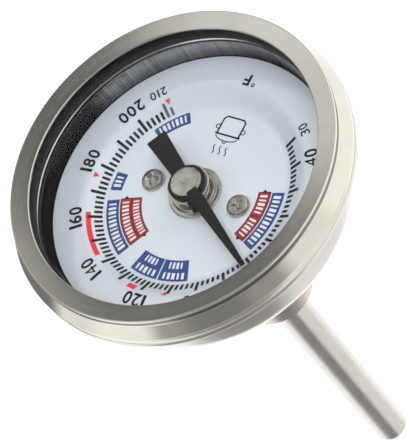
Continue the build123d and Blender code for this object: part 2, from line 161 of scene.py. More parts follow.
class Paint:
    """A material's node tree, with short calls for the nodes used here."""

    def __init__(self, name):
        self.material = bpy.data.materials.new(name)
        self.material.use_nodes = True
        self.tree = self.material.node_tree
        self.shader = self.tree.nodes["Principled BSDF"]
        self.output = self.tree.nodes["Material Output"]

    def node(self, kind, **settings):
        made = self.tree.nodes.new("ShaderNode" + kind)
        for key, value in settings.items():
            setattr(made, key, value)
        return made

    def put(self, socket, value):
        if isinstance(value, bpy.types.NodeSocket):
            self.tree.links.new(value, socket)
        else:
            socket.default_value = value

    def set(self, **values):
        for key, value in values.items():
            self.put(self.shader.inputs[key.replace("_", " ")], value)

    def math(self, operation, a, b=0.0):
        made = self.node("Math", operation=operation)
        self.put(made.inputs[0], a)
        self.put(made.inputs[1], b)
        return made.outputs[0]

    def place(self):
        """Object coordinates in millimetres, as x, y and z sockets."""
        split = self.node("SeparateXYZ")
        self.put(split.inputs[0], self.node("TexCoord").outputs["Object"])
        return [self.math("MULTIPLY", axis, 1000.0) for axis in split.outputs]

    def vector(self, x, y, z):
        made = self.node("CombineXYZ")
        for socket, value in zip(made.inputs, (x, y, z)):
            self.put(socket, value)
        return made.outputs[0]

    def noise(self, vector, scale, detail=3.0, roughness=0.55):
        made = self.node("TexNoise")
        self.put(made.inputs["Vector"], vector)
        for key, value in (("Scale", scale), ("Detail", detail), ("Roughness", roughness)):
            self.put(made.inputs[key], value)
        return made.outputs["Fac"]

    def between(self, fac, low, high):
        """A number that follows fac from low to high over fac's middle range."""
        made = self.node("MapRange")
        self.put(made.inputs["Value"], fac)
        for key, value in (("From Min", 0.3), ("From Max", 0.7), ("To Min", low), ("To Max", high)):
            self.put(made.inputs[key], value)
        return made.outputs["Result"]

    def ramp(self, value, low, high, at_low, at_high):
        """A number that goes smoothly from one value to another as value goes from low to high."""
        made = self.node("MapRange", interpolation_type="SMOOTHSTEP")
        self.put(made.inputs["Value"], value)
        for key, number in (("From Min", low), ("From Max", high), ("To Min", at_low), ("To Max", at_high)):
            self.put(made.inputs[key], number)
        return made.outputs["Result"]

    def around(self, x, y):
        """The distance from the axis."""
        return self.math("SQRT", self.math("ADD", self.math("MULTIPLY", x, x), self.math("MULTIPLY", y, y)))

    def rings(self, x, y, z, line, grain):
        """Fine rings round the axis, broken up a little."""
        drift = self.math("MULTIPLY", self.noise(self.vector(x, y, z), grain, 2.0), 0.35)
        across = self.math("ADD", self.around(x, y), drift)
        return self.noise(self.vector(across, self.math("ADD", z, drift), 0.0), line, 4.0, 0.7)

    def mix(self, fac, a, b):
        made = self.node("Mix", data_type="RGBA")
        self.put(made.inputs["Factor"], fac)
        self.put(made.inputs["A"], a)
        self.put(made.inputs["B"], b)
        return made.outputs["Result"]

    def bump(self, height, distance):
        made = self.node("Bump")
        self.put(made.inputs["Height"], height)
        self.put(made.inputs["Distance"], distance * MM)
        self.put(self.shader.inputs["Normal"], made.outputs[0])


def turned_steel(name, dark, light, rough, line=6.0, depth=0.004):
    """Steel with fine rings round the axis, broken up a little, and soft patches of tone."""
    paint = Paint(name)
    x, y, z = paint.place()
    patch = paint.noise(paint.vector(x, y, z), 0.09, 2.0)
    rings = paint.rings(x, y, z, line, 0.6)
    tone = paint.math("ADD", paint.math("MULTIPLY", rings, 0.6), paint.math("MULTIPLY", patch, 0.4))
    paint.set(Base_Color=paint.mix(paint.between(tone, 0.0, 1.0), dark, light), Metallic=1.0)
    paint.set(Roughness=paint.between(rings, rough - 0.05, rough + 0.07))
    paint.bump(rings, depth)
    return paint.material


def pressed_steel(name, dark, light, rough, line=6.0, depth=0.0025):
    """Ring-turned steel for the bezel, with painted shade in its groove."""
    paint = Paint(name)
    x, y, z = paint.place()
    around = paint.around(x, y)
    patch = paint.noise(paint.vector(x, y, z), 0.09, 2.0)
    rings = paint.rings(x, y, z, line, 0.6)
    tone = paint.math("ADD", paint.math("MULTIPLY", rings, 0.6), paint.math("MULTIPLY", patch, 0.4))
    steel = paint.mix(paint.between(tone, 0.0, 1.0), dark, light)
    # Painted shade: the groove between the rim and the shoulder is painted dark grey.
    outer = paint.math("GREATER_THAN", around, GROOVE_R - 0.35)
    under = paint.math("LESS_THAN", z, RIM_LOW + 0.05)
    over = paint.math("GREATER_THAN", z, SHOULDER_TOP + 0.11)
    groove = paint.math("MULTIPLY", outer, paint.math("MULTIPLY", under, over))
    paint.set(Base_Color=paint.mix(groove, steel, grey(0.2)), Metallic=1.0)
    paint.set(Roughness=paint.between(rings, rough - 0.05, rough + 0.07))
    paint.bump(rings, depth)
    return paint.material


def drawn_steel(name, dark, light, rough, across=2.2, along=0.05, depth=0.006):
    """Steel with streaks along the axis, as drawn tube and cup walls have."""
    paint = Paint(name)
    x, y, z = paint.place()
    streaks = paint.noise(paint.vector(x, y, paint.math("MULTIPLY", z, along)), across, 4.0, 0.7)
    patch = paint.noise(paint.vector(x, y, z), 0.12, 2.0)
    tone = paint.math("ADD", paint.math("MULTIPLY", streaks, 0.65), paint.math("MULTIPLY", patch, 0.35))
    paint.set(Base_Color=paint.mix(paint.between(tone, 0.0, 1.0), dark, light), Metallic=1.0)
    paint.set(Roughness=paint.between(streaks, rough - 0.05, rough + 0.08))
    paint.bump(streaks, depth)
    return paint.material


def case_steel(name, dark, light, rough):
    """Drawn cup: fine rings outside; duller and streaked inside, with painted shade on the inner wall:
    darker towards the bottom, much darker on the side towards +X, and a painted lighter band near its top.
    """
    paint = Paint(name)
    x, y, z = paint.place()
    around = paint.around(x, y)
    within = paint.math("LESS_THAN", around, CASE_R - CASE_SHEET / 2)
    inside = paint.math("MULTIPLY", within, paint.math("GREATER_THAN", z, 24.0))
    streaks = paint.noise(paint.vector(x, y, paint.math("MULTIPLY", z, 0.05)), 2.2, 3.0, 0.6)
    rings = paint.rings(x, y, z, 5.0, 0.3)
    steel = paint.mix(paint.between(rings, 0.0, 1.0), dark, light)
    # Painted shade: the inner wall is darkened on its side towards +X, along this direction.
    lean = paint.math("ADD", paint.math("MULTIPLY", x, 0.866), paint.math("MULTIPLY", y, 0.5))
    painted_side_shade = paint.ramp(lean, 18.0, 24.5, 1.0, 0.08)
    # Painted shade darker towards the bottom of the inner wall, and a painted lighter band near its top.
    wall = paint.math("MULTIPLY", paint.ramp(z, 31.0, 37.5, 0.26, 0.72), painted_side_shade)
    wall = paint.math("MAXIMUM", wall, paint.ramp(z, 35.6, 37.4, 0.0, 0.2))
    streaks_and_painted_shade = paint.mix(wall, (0, 0, 0, 1), paint.mix(paint.between(streaks, 0.0, 1.0), grey(0.3), grey(0.8)))
    paint.set(Base_Color=paint.mix(inside, steel, streaks_and_painted_shade), Metallic=1.0)
    # The painted shade also dims what the inner wall mirrors.
    paint.set(Specular_Tint=paint.mix(inside, (1, 1, 1, 1), streaks_and_painted_shade))
    paint.set(Roughness=paint.between(rings, rough - 0.04, rough + 0.06))
    paint.bump(rings, 0.002)
    return paint.material


def satin_nickel(name, dark, light, rough):
    """Plated steel with short random scratches and a faint mottle."""
    paint = Paint(name)
    x, y, z = paint.place()
    mottle = paint.noise(paint.vector(x, y, z), 0.35, 3.0, 0.5)
    scratch = paint.noise(paint.vector(x, paint.math("MULTIPLY", y, 9.0), z), 0.9, 4.0, 0.6)
    tone = paint.math("ADD", paint.math("MULTIPLY", mottle, 0.8), paint.math("MULTIPLY", scratch, 0.2))
    paint.set(Base_Color=paint.mix(paint.between(tone, 0.0, 1.0), dark, light), Metallic=1.0)
    paint.set(Roughness=paint.between(tone, rough - 0.05, rough + 0.1))
    paint.bump(tone, 0.006)
    return paint.material


def coated(name, dark, light, rough, grain, depth, shine=0.5):
    """Paint, ink, rubber or plastic: a fine grain in tone, gloss and height."""
    paint = Paint(name)
    x, y, z = paint.place()
    spot = paint.noise(paint.vector(x, y, z), grain, 4.0, 0.6)
    paint.set(Base_Color=paint.mix(paint.between(spot, 0.0, 1.0), dark, light), Metallic=0.0)
    paint.set(Roughness=paint.between(spot, rough - 0.05, rough + 0.08))
    paint.set(Specular_IOR_Level=shine)
    paint.bump(spot, depth)
    return paint.material


def enamel(name, dark, light):
    """Smooth fired paint on the dial under a clear gloss."""
    paint = Paint(name)
    x, y, z = paint.place()
    cloud = paint.noise(paint.vector(x, y, z), 0.05, 2.0)
    paint.set(Base_Color=paint.mix(paint.between(cloud, 0.0, 1.0), dark, light), Metallic=0.0)
    paint.set(Roughness=paint.between(cloud, 0.34, 0.4), Coat_Weight=1.0, Coat_Roughness=0.1, Coat_IOR=1.7)
    paint.bump(paint.noise(paint.vector(x, y, z), 1.5, 2.0), 0.0006)
    return paint.material


def window_material():
    """Clear flat glass: lets light straight through and mirrors a little, with a trace of haze."""
    paint = Paint("window_clear")
    clear = paint.node("BsdfTransparent")
    clear.inputs[0].default_value = (0.985, 0.993, 0.99, 1)
    mirror = paint.node("BsdfGlossy")
    mirror.inputs["Color"].default_value = (1, 1, 1, 1)
    x, y, z = paint.place()
    haze = paint.noise(paint.vector(x, y, z), 0.2, 3.0)
    paint.put(mirror.inputs["Roughness"], paint.between(haze, 0.01, 0.05))
    edge = paint.node("Fresnel")
    edge.inputs["IOR"].default_value = 1.14
    both = paint.node("MixShader")
    paint.put(both.inputs[0], edge.outputs[0])
    paint.put(both.inputs[1], clear.outputs[0])
    paint.put(both.inputs[2], mirror.outputs[0])
    paint.put(paint.output.inputs["Surface"], both.outputs[0])
    paint.tree.nodes.remove(paint.shader)
    return paint.material


def grey(value, warm=0.0):
    """An opaque grey, a little warm or cool."""
    return (value * (1 + warm), value, value * (1 - warm), 1)


BEZEL = pressed_steel("bezel_steel", (0.53, 0.525, 0.485, 1), (0.67, 0.66, 0.615, 1), 0.13)
CASE = case_steel("case_steel", grey(0.52, 0.02), grey(0.66, 0.02), 0.2)
STEM = drawn_steel("stem_steel", grey(0.46, 0.03), grey(0.56, 0.03), 0.17, across=3.0)
TURNED = turned_steel("boss_steel", grey(0.44, 0.07), grey(0.62, 0.07), 0.22, line=4.0)
NICKEL = satin_nickel("nickel", (0.32, 0.31, 0.28, 1), (0.74, 0.72, 0.65, 1), 0.24)
BRASS = turned_steel("brass", (0.5, 0.36, 0.16, 1), (0.68, 0.52, 0.26, 1), 0.3)
BIMETAL = turned_steel("bimetal", (0.4, 0.36, 0.3, 1), (0.55, 0.5, 0.42, 1), 0.35)
RUBBER = coated("seal_rubber", grey(0.014), grey(0.028), 0.5, 1.6, 0.01, shine=0.25)
ENAMEL = enamel("dial_enamel", (0.365, 0.39, 0.435, 1), (0.38, 0.405, 0.45, 1))
BLACK_PAINT = coated("pointer_paint", grey(0.004), grey(0.009), 0.45, 3.0, 0.006, shine=0.15)
BLACK_INK = coated("ink_black", grey(0.004), grey(0.009), 0.5, 2.0, 0.002, shine=0.1)
RED_INK = coated("ink_red", (0.46, 0.02, 0.03, 1), (0.55, 0.03, 0.04, 1), 0.5, 2.0, 0.002, shine=0.15)
CRIMSON_INK = coated(
    "ink_crimson", (0.19, 0.012, 0.02, 1), (0.25, 0.02, 0.03, 1), 0.5, 2.0, 0.002, shine=0.15
)
BLUE_INK = coated("ink_blue", (0.016, 0.036, 0.12, 1), (0.024, 0.05, 0.155, 1), 0.5, 2.0, 0.002, shine=0.15)
WHITE_INK = coated("ink_white", grey(0.42), grey(0.5), 0.4, 2.0, 0.002)
PALE_INK = coated("ink_faded", grey(0.05), grey(0.08), 0.5, 2.0, 0.002, shine=0.2)
GLASS = window_material()


# ---------------------------------------------------------------- housing

def make_bezel():
    """Pressed ring: a gently rising face, a crisp rim, a groove, a shoulder and a crimped skirt."""
    crimp = CRIMP_LOW + BEZEL_SHEET
    recess = 41.5
    outline = [
        (LIP_R, GLASS_TOP + 0.02, 0.15),
        (LIP_R, GLASS_TOP + 0.6, 0.25),
        (RIM_R, RIM_TOP - 0.02, 0.3),
        (RIM_R, RIM_LOW, 0.2),
        (GROOVE_R, GROOVE_Z, 0.2),
        (SHOULDER_IN_R, SHOULDER_TOP, 0.2),
        (SHOULDER_R, SHOULDER_LOW, 0.12),
        (recess, SHOULDER_LOW - 0.3, 0.15),
        (recess + 0.16, 37.0, 2.0),
        (recess, crimp, 0.15),
        (SHOULDER_R - 0.01, CRIMP_LOW + 0.35, 0.2),
        (41.72, CRIMP_LOW, 0.3),
        (CRIMP_R, CRIMP_LOW, 0.2),
        (CRIMP_R, crimp, 0.2),
        (BEZEL_INSIDE_R, crimp, 0),
        (BEZEL_INSIDE_R, SHOULDER_LOW - 0.4, 0.3),
        (BEZEL_THROAT_R, 41.2, 0.3),
        (BEZEL_THROAT_R, GLASS_TOP + 0.02, 0),
    ]
    piece("bezel", turned("bezel", outline, 360), FIXED, "bezel_steel", BEZEL, "bezel_ring")


def make_case():
    """Drawn cup with a rounded back corner and a flange that turns down at its edge."""
    inner, under = CASE_R - CASE_SHEET, FLANGE_TOP - CASE_SHEET
    hole, corner = 6.05, 4.6
    outline = [
        (hole, CASE_BACK, 0),
        (CASE_R, CASE_BACK, corner),
        (CASE_R, under, 0.5),
        (FLANGE_R - CASE_SHEET, under, 0),
        (FLANGE_R - CASE_SHEET, FLANGE_TOP - FLANGE_LIP, 0),
        (FLANGE_R, FLANGE_TOP - FLANGE_LIP, 0),
        (FLANGE_R, FLANGE_TOP, 0.5),
        (inner, FLANGE_TOP, 1.2),
        (inner, CASE_BACK + CASE_SHEET, corner - CASE_SHEET),
        (hole, CASE_BACK + CASE_SHEET, 0),
    ]
    piece("case", turned("case", outline, 360), FIXED, "case_steel", CASE, "case_cup")


def make_gasket():
    """Rubber ring that carries the glass and closes round its edge."""
    outline = [
        (35.5, FLANGE_TOP + 0.02, 0.4),
        (37.98, FLANGE_TOP + 0.02, 0),
        (37.98, GLASS_TOP, 0),
        (37.07, GLASS_TOP, 0),
        (37.07, GLASS_LOW - 0.02, 0),
        (35.5, GLASS_LOW - 0.02, 0.4),
    ]
    piece("gasket", turned("gasket", outline), FIXED, "seal_rubber", RUBBER, "window_gasket")


def make_window():
    """Flat window with ground edges."""
    edge = 0.3
    outline = [
        (0, GLASS_LOW, 0),
        (GLASS_R - edge, GLASS_LOW, 0),
        (GLASS_R, GLASS_LOW + edge, 0),
        (GLASS_R, GLASS_TOP - edge, 0),
        (GLASS_R - edge, GLASS_TOP, 0),
        (0, GLASS_TOP, 0),
    ]
    piece("window", turned("window", outline), FIXED, "window_glass", GLASS, "window_glass")


def make_dial():
    """Dished dial sheet with soft folds at both edges of the sloping scale ring."""
    low = DIAL_TOP - DIAL_SHEET
    outline = [
        (4.1, DIAL_TOP, 0.1),
        (DIAL_FLAT_R, DIAL_TOP, 4.0),
        (DIAL_SLOPE_R, RING_TOP, 5.0),
        (DIAL_R, RING_TOP, 0.15),
        (DIAL_R, RING_TOP - DIAL_SHEET, 0.15),
        (DIAL_SLOPE_R + 0.16, RING_TOP - DIAL_SHEET, 4.4),
        (DIAL_FLAT_R + 0.16, low, 4.6),
        (4.1, low, 0.1),
    ]
    piece("dial", turned("dial", outline, 360), FIXED, "dial_paint", ENAMEL, "dial_plate")


def make_bush():
    """Stepped centre bush."""
    outline = [
        (3.02, 24.0, 0),
        (4.05, 24.0, 0.2),
        (4.05, DIAL_TOP, 0),
        (6.5, DIAL_TOP, 0),
        (6.5, 29.3, 0.3),
        (5.4, 29.3, 0.25),
        (5.4, 30.1, 0.3),
        (3.8, 30.1, 0.4),
        (3.8, 32.4, 0.2),
        (2.0, 32.4, 0),
        (2.0, 27.0, 0),
        (3.02, 27.0, 0),
    ]
    piece("bush", turned("bush", outline, 120), FIXED, "nickel", NICKEL, "centre_bush")


def make_stem():
    """Thin tube and its rounded end plug."""
    low, high = low_z("stem_tube"), high_z("stem_tube")
    bore = STEM_R - 0.7
    seat, step = 4.55, -20.3
    tube = [(bore, low, 0), (STEM_R, low, 0), (STEM_R, step, 0)]
    tube += [(seat, step, 0), (seat, high, 0), (bore, high, 0)]
    piece("stem", turned("stem", tube, 120), FIXED, "stem_steel", STEM, "stem_tube")
    plug = [
        (0, STEM_TIP, 0),
        (STEM_R, STEM_TIP, 1.5),
        (STEM_R, low, 0),
        (bore - 0.05, low, 0),
        (bore - 0.05, low + 2.0, 0),
        (0, low + 2.0, 0),
    ]
    piece("stem_end", turned("stem_end", plug, 120), FIXED, "stem_steel", STEM, "stem_end_plug")


def thread_mesh():
    """Right-hand taper thread as one helical surface, cut flat at both ends and closed."""
    pitch, crest, taper, flat = 25.4 / 14, 10.67, 1 / 32, 0.1
    depth = (pitch / 2 - flat) * math.tan(math.radians(60))
    around, per_turn, turns = 144, 20, 13
    corners, faces = [], []
    rows = per_turn * turns
    for row in range(rows):
        phase = row % per_turn / per_turn
        drop = max(0.0, min(0.5, abs(phase - 0.5)) * 2 - 2 * flat / pitch) * depth
        for k in range(around):
            z = pitch * (1 - row / per_turn - k / around)
            angle = 2 * math.pi * k / around
            r = crest + z * taper - depth + drop
            chamfer = 9.15 + (z + THREAD_LENGTH) * 0.9
            r = max(4.9, min(r, chamfer))
            corners.append((r * math.cos(angle), -r * math.sin(angle), z))
    for row in range(rows - 1):
        for k in range(around):
            here, next_row = row * around + k, (row + 1) * around + k
            if k < around - 1:
                faces.append((here, here + 1, next_row + 1, next_row))
            elif row + per_turn + 1 < rows:
                start = (row + per_turn) * around
                faces.append((here, start, start + around, next_row))
    mesh = mesh_from("thread", corners, faces)
    shape = bmesh.new()
    shape.from_mesh(mesh)
    for level, side in ((0.0, 1), (-THREAD_LENGTH, -1)):
        every = shape.verts[:] + shape.edges[:] + shape.faces[:]
        bmesh.ops.bisect_plane(
            shape, geom=every, plane_co=(0, 0, level * MM), plane_no=(0, 0, side), clear_outer=True
        )
        rim = [e for e in shape.edges if e.is_boundary and abs(e.verts[0].co.z - level * MM) < 1e-6]
        bmesh.ops.contextual_create(shape, geom=rim)
    bmesh.ops.recalc_face_normals(shape, faces=shape.faces)
    shape.to_mesh(mesh)
    shape.free()
    return mesh


def make_boss():
    """Threaded boss: helical thread, chamfered hexagon, neck and spigot."""
    thread = piece("thread", thread_mesh(), FIXED, "turned_steel", TURNED)
    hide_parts("thread_boss")
    flats, height, chamfer = 22.2, 9.0, 0.9
    corner = flats / 2 / math.cos(math.pi / 6)
    around = 180
    levels = [0, 0.15, 0.3, 0.5, 0.7, chamfer, height - chamfer, height - 0.7, height - 0.5]
    levels += [height - 0.3, height - 0.15, height]
    corners = []
    for z in levels:
        end = min(z, height - z)
        turned_r = flats / 2 + (corner - flats / 2) * min(1.0, end / chamfer)
        for k in range(around):
            angle = 2 * math.pi * k / around
            off = (angle + math.pi / 6) % (math.pi / 3) - math.pi / 6
            r = min(turned_r, flats / 2 / math.cos(off))
            corners.append((r * math.cos(angle + math.pi / 2), r * math.sin(angle + math.pi / 2), z))
    faces = [tuple(range(around)), tuple(range((len(levels) - 1) * around, len(levels) * around))]
    for i in range(len(levels) - 1):
        for k in range(around):
            after = (k + 1) % around
            low, high = i * around, (i + 1) * around
            faces.append((low + k, low + after, high + after, high + k))
    piece("boss_hexagon", mesh_from("boss_hexagon", corners, faces), FIXED, "turned_steel", TURNED, sharp=20)
    neck = [(0, 8.0, 0), (8.5, 8.0, 0), (8.5, 18.08, 0.3), (6.0, 18.08, 0), (6.0, 22.9, 0.3), (0, 22.9, 0)]
    piece("boss_neck", turned("boss_neck", neck, 120), FIXED, "turned_steel", TURNED)


def make_screw(side):
    """Pan-head screw with a cross recess, turned a little from square."""
    head_r, head, lift = 2.8, 1.5, DIAL_TOP
    around, rings = 96, 26
    lean = math.radians(20 if side > 0 else 55)
    corners, faces = [], []
    for i in range(rings + 1):
        share = i / rings
        r = head_r * share
        crown = head - 0.42 * share**2 if share < 0.86 else head - 0.31 - (share - 0.86) ** 2 * 34
        for k in range(around):
            angle = 2 * math.pi * k / around
            x, y = r * math.cos(angle - lean), r * math.sin(angle - lean)
            slots = [max(abs(p) / 1.35, abs(q) / (0.26 + 0.12 * abs(p))) for p, q in ((x, y), (y, x))]
            slot = min(slots)
            sink = 0.6 * max(0.0, min(1.0, (1.25 - slot) / 0.5)) * (1 - 0.45 * share)
            corners.append((r * math.cos(angle), r * math.sin(angle), lift + max(0.3, crown - sink)))
    for i in range(rings):
        for k in range(around):
            after = (k + 1) % around
            here, out = i * around, (i + 1) * around
            faces.append((here + k, out + k, out + after, here + after))
    base = len(corners)
    for r, z in ((head_r, lift), (1.5, lift), (1.5, lift - 5)):
        turns = [2 * math.pi * k / around for k in range(around)]
        corners += [(r * math.cos(turn), r * math.sin(turn), z) for turn in turns]
    outer = rings * around
    for top, low in ((outer, base), (base, base + around), (base + around, base + 2 * around)):
        for k in range(around):
            after = (k + 1) % around
            faces.append((top + k, low + k, low + after, top + after))
    faces.append(tuple(range(base + 2 * around, base + 3 * around)))
    place = side * 12.2
    corners = [(x + place, y, z) for x, y, z in corners]
    name = "dial_screw_right" if side > 0 else "dial_screw_left"
    return piece(name, mesh_from(name, corners, faces), FIXED, "nickel", NICKEL, sharp=45)


make_bezel()
make_case()
make_gasket()
make_window()
make_dial()
make_bush()
make_stem()
make_boss()
screws = [make_screw(side) for side in (-1, 1)]
for screw in screws:
    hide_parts("dial_screws")


# ---------------------------------------------------------------- printed scale

TOP_READING = 121.0
TURN_PER_DEGREE = math.radians(1.5)
UNIT = 23.0
INK = 0.05


def dial_height(r):
    """Height of the dial's upper face at a radius."""
    share = (r - DIAL_FLAT_R) / (DIAL_SLOPE_R - DIAL_FLAT_R)
    return DIAL_TOP + (RING_TOP - DIAL_TOP) * max(0.0, min(1.0, share))


def on_dial(reading, r, aside=0.0):
    """The place of a reading at a radius, moved clockwise by a distance across the radius."""
    angle = (reading - TOP_READING) * TURN_PER_DEGREE
    return (r * math.sin(angle) + aside * math.cos(angle), r * math.cos(angle) - aside * math.sin(angle))


class Print:
    """One colour of print: many thin closed patches that follow the dial's face."""

    def __init__(self, name, material, level=1):
        self.name = name
        self.material = material
        self.lift = INK * level
        self.corners = []
        self.faces = []

    def corner(self, x, y, top):
        height = dial_height(math.hypot(x, y))
        self.corners.append((x, y, height + (self.lift if top else -INK)))
        return len(self.corners) - 1

    def grid(self, rows):
        """A patch from rows of (x, y) points."""
        top = [[self.corner(x, y, True) for x, y in row] for row in rows]
        low = [[self.corner(x, y, False) for x, y in row] for row in rows]
        tall, wide = len(rows), len(rows[0])
        for i in range(tall - 1):
            for k in range(wide - 1):
                for layer in (top, low):
                    self.faces.append((layer[i][k], layer[i][k + 1], layer[i + 1][k + 1], layer[i + 1][k]))
        edge = [(0, k) for k in range(wide)] + [(i, wide - 1) for i in range(1, tall)]
        edge += [(tall - 1, k) for k in reversed(range(wide - 1))]
        edge += [(i, 0) for i in reversed(range(1, tall - 1))]
        for (i, k), (m, n) in zip(edge, edge[1:] + edge[:1]):
            self.faces.append((top[i][k], top[m][n], low[m][n], low[i][k]))

    def polygon(self, points):
        """A flat patch with any outline."""
        top = [self.corner(x, y, True) for x, y in points]
        low = [self.corner(x, y, False) for x, y in points]
        self.faces += [tuple(top), tuple(low)]
        for k in range(len(points)):
            after = (k + 1) % len(points)
            self.faces.append((top[k], top[after], low[after], low[k]))

    def band(self, start, end, low, high):
        """An arc band between two readings and two radii."""
        steps = max(1, round((end - start) / 1.5))
        radii = [low] + [r for r in (DIAL_FLAT_R, DIAL_SLOPE_R) if low < r < high] + [high]
        turns = [start + (end - start) * k / steps for k in range(steps + 1)]
        self.grid([[on_dial(t, r) for t in turns] for r in radii])

    def bar(self, reading, low, high, width):
        """A straight bar along the radius."""
        radii = [low + (high - low) * k / 3 for k in range(4)]
        self.grid([[on_dial(reading, r, -width / 2), on_dial(reading, r, width / 2)] for r in radii])

    def line(self, points, width):
        """A drawn line through (x, y) points, with square joints."""
        ways = [(Vector(b) - Vector(a)).normalized() for a, b in zip(points, points[1:])]
        rows = []
        for k, point in enumerate(points):
            way = (ways[max(0, k - 1)] + ways[min(k, len(ways) - 1)]).normalized()
            side = Vector((-way.y, way.x)) * width / 2
            rows.append([tuple(Vector(point) - side), tuple(Vector(point) + side)])
        self.grid(rows)

    def finish(self):
        mesh = mesh_from(self.name, self.corners, self.faces)
        return piece(self.name, mesh, FIXED, "dial_paint", self.material, sharp=20)


def glyph(text, height, width, weight):
    """Corners and faces of one closed character, scaled to a height and a width."""
    curve = bpy.data.curves.new("glyph", "FONT")
    curve.body = text
    curve.size = 1.0
    curve.offset = weight
    curve.extrude = 0.01
    curve.resolution_u = 5
    item = bpy.data.objects.new("glyph", curve)
    bpy.context.scene.collection.objects.link(item)
    mesh = bpy.data.meshes.new_from_object(item.evaluated_get(bpy.context.evaluated_depsgraph_get()))
    corners = [v.co.copy() for v in mesh.vertices]
    faces = [tuple(f.vertices) for f in mesh.polygons]
    low_x, high_x = min(c.x for c in corners), max(c.x for c in corners)
    low_y, high_y = min(c.y for c in corners), max(c.y for c in corners)
    tall = high_y - low_y
    for c in corners:
        c.x = (c.x - (low_x + high_x) / 2) / (high_x - low_x) * width
        c.y = (c.y - (low_y + high_y) / 2) / tall * height
    bpy.data.objects.remove(item)
    bpy.data.curves.remove(curve)
    bpy.data.meshes.remove(mesh)
    return corners, faces


def letter_on(sheet, text, reading, r, height, width, weight, flipped=False):
    """One upright character on the dial at a reading, its top outward, or inward if flipped."""
    corners, faces = glyph(text, height, width, weight)
    start = len(sheet.corners)
    turn = -1 if flipped else 1
    for c in corners:
        x, y = on_dial(reading, r + turn * c.y, turn * c.x)
        sheet.corner(x, y, c.z > 0)
    sheet.faces += [tuple(start + i for i in face) for face in faces]


def number_on(sheet, text, reading, low, high, width, gap, weight, flipped=False):
    """A number that follows the dial, one character after the other, with even gaps."""
    turn = -1 if flipped else 1
    middle = (low + high) / 2
    widths = [width * (0.46 if digit == "1" else 1.0) for digit in text]
    start = -(sum(widths) + gap * (len(text) - 1)) / 2
    for digit, wide in zip(text, widths):
        place = reading + turn * (start + wide / 2) / (middle * TURN_PER_DEGREE)
        drawn = wide * (0.8 if weight > 0.01 else 0.62) if digit == "1" else wide
        stroke = 0.0 if digit == "4" else weight
        letter_on(sheet, digit, place, middle, high - low, drawn, stroke, flipped)
        start += wide + gap


black = Print("print_black", BLACK_INK, 1)
faded = Print("print_faded", PALE_INK, 1)
red = Print("print_red", RED_INK, 0.8)
crimson = Print("print_crimson", CRIMSON_INK, 0.8)
blue = Print("print_blue", BLUE_INK, 1)
white = Print("print_white", WHITE_INK, 2)
outline_ink = Print("print_outline", BLACK_INK, 1.5)

# Scale marks
for reading in range(30, 213, 2):
    long = reading % 10 == 0
    sheet = faded if reading > 208 else black
    sheet.bar(reading, UNIT * 1.0, UNIT * (1.15 if long else 1.093), 0.72 if long else 0.64)

# Numbers
for reading in range(40, 201, 20):
    flipped = reading in (40, 200)
    number_on(black, str(reading), reading, UNIT * 1.203, UNIT * 1.345, 2.0, 0.42, 0.02, flipped)
number_on(black, "30", 29.5, UNIT * 1.213, UNIT * 1.313, 1.4, 0.35, 0.008, True)
number_on(black, "210", 209.9, UNIT * 1.225, UNIT * 1.325, 1.4, 0.4, 0.008, True)
letter_on(black, "°", 242.9, UNIT * 1.24, 1.0, 1.0, 0.01, True)
letter_on(black, "F", 240.2, UNIT * 1.28, 2.9, 1.8, 0.025, True)

# Red marks outside the scale
for reading in (111, 176, 212):
    point, base = UNIT * 1.118, UNIT * 1.17
    red.polygon([on_dial(reading, point), on_dial(reading, base, -0.72), on_dial(reading, base, 0.72)])
red.band(122.3, 125.7, UNIT * 1.117, UNIT * 1.172)
red.band(143.6, 161.8, UNIT * 1.12, UNIT * 1.167)


def marks(start, end, low, high, step):
    """A row of plain solid blocks, wide and narrow in turn, that stand where words would."""
    count = round((end - start) / step)
    middle = (low + high) / 2
    each = (end - start) / count
    half = each * TURN_PER_DEGREE * middle / 2
    for k in range(count):
        reading = start + (k + 0.5) * each
        reach = half * (0.66, 0.4, 0.54)[(k * 2 + count) % 3]
        white.grid([[on_dial(reading, r, -reach), on_dial(reading, r, reach)] for r in (low, high)])


def blue_box(start, end, low, high, lines=1):
    """A blue band with one or two rows of marks."""
    low, high = low * UNIT, high * UNIT
    blue.band(start, end, low, high)
    tall = (high - low) / lines
    for line in range(lines):
        base = low + line * tall
        inset = 1.2 if line == lines - 1 else 2.6
        marks(start + inset, end - inset, base + tall * 0.2, base + tall * 0.8, 2.1)


blue_box(49.9, 76.7, 0.840, 0.972)
blue_box(104.6, 117.8, 0.747, 0.977, lines=2)
blue_box(118.4, 131.7, 0.747, 0.977, lines=2)
blue_box(140.2, 167.3, 0.845, 0.983)
blue_box(172.0, 180.2, 0.850, 0.987)
blue_box(202.4, 218.6, 0.850, 0.987)


def red_box(start, end, low, high, arrow_start, arrow_end, dividers=()):
    """A red band with a dark outline, a row of marks and small arrowheads on its ends."""
    low, high = low * UNIT, high * UNIT
    pen = 0.16
    crimson.band(start, end, low, high)
    for r in (low, high):
        outline_ink.band(start, end, r - pen / 2, r + pen / 2)
    for reading in (start, end, *dividers):
        outline_ink.bar(reading, low, high, pen)
    middle = (low + high) / 2
    for wanted, reading, way in ((arrow_start, start, -1), (arrow_end, end, 1)):
        if wanted:
            tip = on_dial(reading + way * 1.6, middle)
            outline_ink.polygon([on_dial(reading, middle - 0.55), tip, on_dial(reading, middle + 0.55)])
    edges = [start, *dividers, end]
    for a, b in zip(edges, edges[1:]):
        marks(a + 1.2, b - 1.2, low + (high - low) * 0.2, low + (high - low) * 0.8, 2.3)


red_box(49.5, 76.7, 0.693, 0.823, True, True, dividers=(63.3,))
red_box(140.4, 167.5, 0.708, 0.828, False, True)
red_box(140.4, 167.5, 0.597, 0.708, True, False)


def arc(x, y, rx, ry, start, end, steps=10):
    """Points along part of an ellipse, in degrees."""
    turns = [math.radians(start + (end - start) * k / steps) for k in range(steps + 1)]
    return [(x + rx * math.cos(t), y + ry * math.sin(t)) for t in turns]


